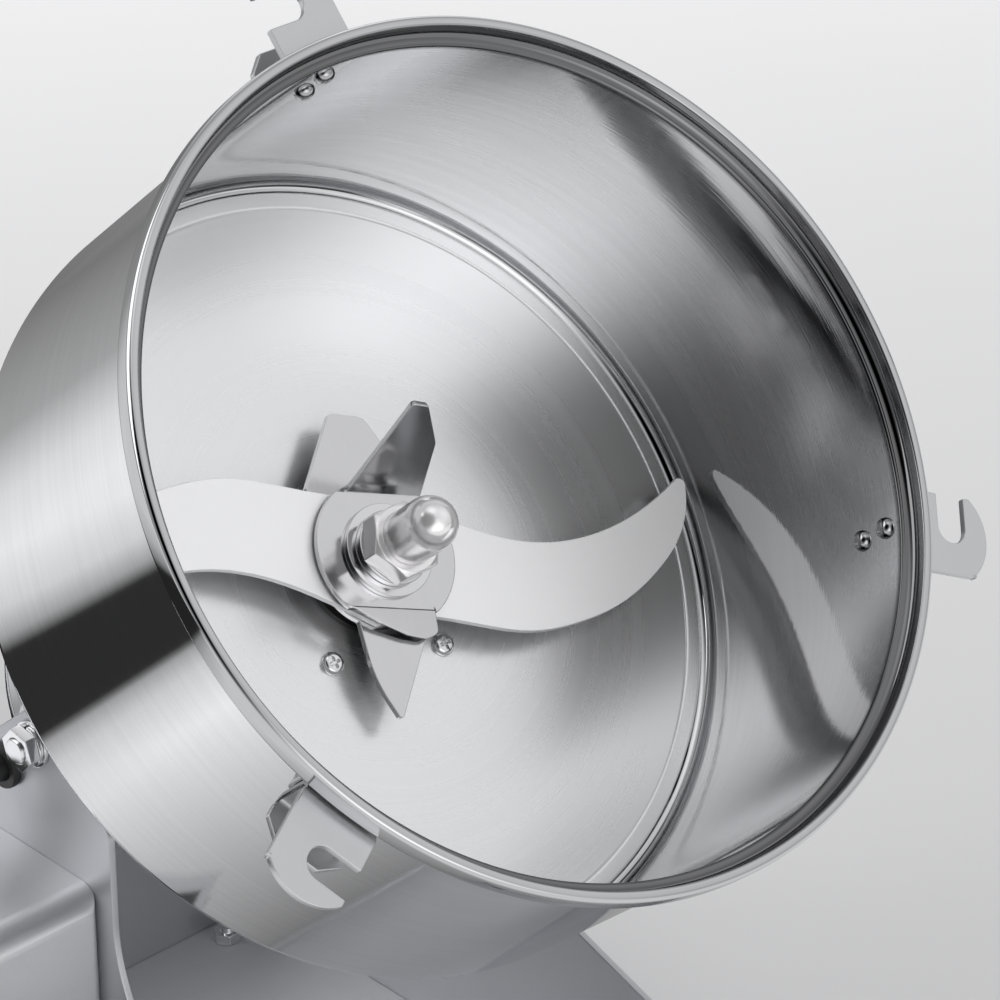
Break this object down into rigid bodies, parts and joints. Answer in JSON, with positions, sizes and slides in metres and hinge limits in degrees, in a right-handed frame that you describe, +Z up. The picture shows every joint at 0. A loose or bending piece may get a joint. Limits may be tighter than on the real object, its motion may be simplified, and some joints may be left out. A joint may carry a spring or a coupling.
{
  "type": "electric grain mill",
  "caption": "Tilting swing grain mill: steel bowl with whirling blades and its motor in a sheet steel stand with a control box.",
  "frame": {"origin": "centre of the bounding box at floor level, under the feet", "axes": "+Z up, -Y to the front where the bowl leans, +X to the right with the control box on the left"},
  "size_m": [0.2333, 0.2747, 0.3449],
  "materials": {
    "polished_stainless": "polished",
    "satin_stainless": "satin brushed",
    "blade_steel": "satin ground",
    "bright_hardware": "polished",
    "cast_aluminium": "as cast",
    "electrical_steel": "laminated",
    "copper_winding": "varnished copper",
    "brass": "bright",
    "carbon": "matt carbon",
    "black_rubber": "matt",
    "black_plastic": "fine grained",
    "white_plastic": "plain",
    "red_plastic": "glossy"
  },
  "bodies": {
    "base": {"base_tray": "satin_stainless", "side_plate_left": "satin_stainless", "side_plate_right": "satin_stainless", "rear_wall": "satin_stainless", "control_box": "satin_stainless", "box_floor": "satin_stainless", "timer_body": "black_plastic", "switch_frame": "black_plastic", "breaker_body": "black_plastic", "cable_gland": "black_plastic", "terminal_block": "white_plastic", "motor_lead": "black_rubber", "lead_grommets": "black_rubber", "rubber_feet": "black_rubber", "foot_screws": "bright_hardware"},
    "drum": {"bowl_shell": "polished_stainless", "bowl_floor": "satin_stainless", "floor_screws": "bright_hardware", "latch_hook_1": "satin_stainless", "latch_hook_2": "satin_stainless", "latch_hook_3": "satin_stainless", "hook_rivets": "bright_hardware", "upper_bracket": "cast_aluminium", "shaft_seal": "black_rubber", "upper_bearing": "bright_hardware", "lower_bearing": "bright_hardware", "motor_housing": "satin_stainless", "stator_core": "electrical_steel", "field_windings": "copper_winding", "lower_bracket": "cast_aluminium", "brush_holders": "brass", "carbon_brushes": "carbon", "brush_springs": "brass", "bottom_cover": "satin_stainless", "cover_screws": "bright_hardware", "pivot_bosses": "satin_stainless", "thrust_washers": "white_plastic", "pivot_stud": "bright_hardware", "pivot_washer": "bright_hardware", "pivot_spring_washer": "bright_hardware", "pivot_nut": "bright_hardware", "lock_stud": "bright_hardware"},
    "rotor": {"motor_shaft": "bright_hardware", "armature_core": "electrical_steel", "armature_windings": "copper_winding", "commutator": "copper_winding", "cooling_fan": "black_plastic", "shaft_slinger": "blade_steel", "lower_blade": "blade_steel", "long_blade": "blade_steel", "blade_spacer": "blade_steel", "upper_blade": "blade_steel", "blade_washer": "blade_steel", "blade_spring_washer": "blade_steel", "cap_nut": "polished_stainless"},
    "lock_knob": {"lock_knob": "black_plastic"},
    "timer": {"timer_knob": "black_plastic", "timer_spindle": "bright_hardware"},
    "rocker": {"switch_rocker": "red_plastic"},
    "reset": {"reset_button": "black_plastic"}
  },
  "joints": [
    {"name": "drum_tilt", "type": "hinge", "parent": "base", "child": "drum", "pos_m": [0.0054, 0.0439, 0.1556], "axis": [1, 0, 0], "range_deg": [-48, 45]},
    {"name": "rotor_spin", "type": "hinge", "parent": "drum", "child": "rotor", "pos_m": [0.0054, 0.0439, 0.1556], "axis": [0, -0.7431, 0.6691], "continuous": true},
    {"name": "lock_knob_turn", "type": "hinge", "parent": "drum", "child": "lock_knob", "pos_m": [0.0754, 0.0439, 0.1556], "axis": [1, 0, 0], "range_deg": [0, 180]},
    {"name": "timer_turn", "type": "hinge", "parent": "base", "child": "timer", "pos_m": [-0.0886, 0.0209, 0.074], "axis": [0, 1, 0], "range_deg": [0, 300]},
    {"name": "rocker_tilt", "type": "hinge", "parent": "base", "child": "rocker", "pos_m": [-0.0996, 0.0229, 0.036], "axis": [1, 0, 0], "range_deg": [-16, 0]},
    {"name": "reset_press", "type": "slide", "parent": "base", "child": "reset", "axis": [0, 1, 0], "range_m": [0, 0.003], "stiffness_N_per_m": 300}
  ]
}
